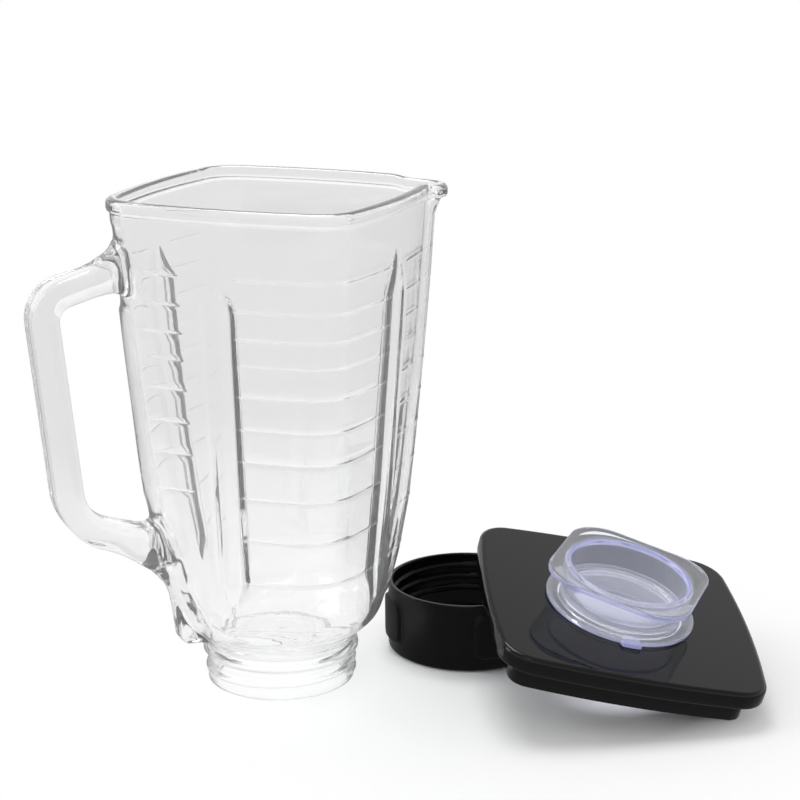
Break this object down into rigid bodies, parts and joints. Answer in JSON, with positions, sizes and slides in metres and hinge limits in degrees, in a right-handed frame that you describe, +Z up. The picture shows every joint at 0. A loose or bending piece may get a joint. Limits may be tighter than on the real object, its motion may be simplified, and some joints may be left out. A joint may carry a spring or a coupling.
{
  "type": "blender jar",
  "caption": "Glass blender jar, square at the mouth and round at the threaded neck, with cast handle and spout, shown with its bottom collar, leaning lid and filler cap taken off.",
  "frame": {"origin": "centre of the jar's neck foot, on the floor the pieces stand on", "axes": "+Z up along the jar's axis; -Y is the jar's front face, the handle is at the (-X, -Y) corner and the spout at the (+X, +Y) corner"},
  "size_m": [0.298, 0.2027, 0.222],
  "materials": {
    "clear_glass": "clear, polished",
    "collar_plastic": "satin black",
    "lid_plastic": "gloss black",
    "cap_plastic": "clear, violet tint"
  },
  "bodies": {
    "root": {"glass_jar": "clear_glass", "bottom_collar": "collar_plastic", "lid": "lid_plastic", "filler_cap": "cap_plastic"}
  },
  "joints": []
}
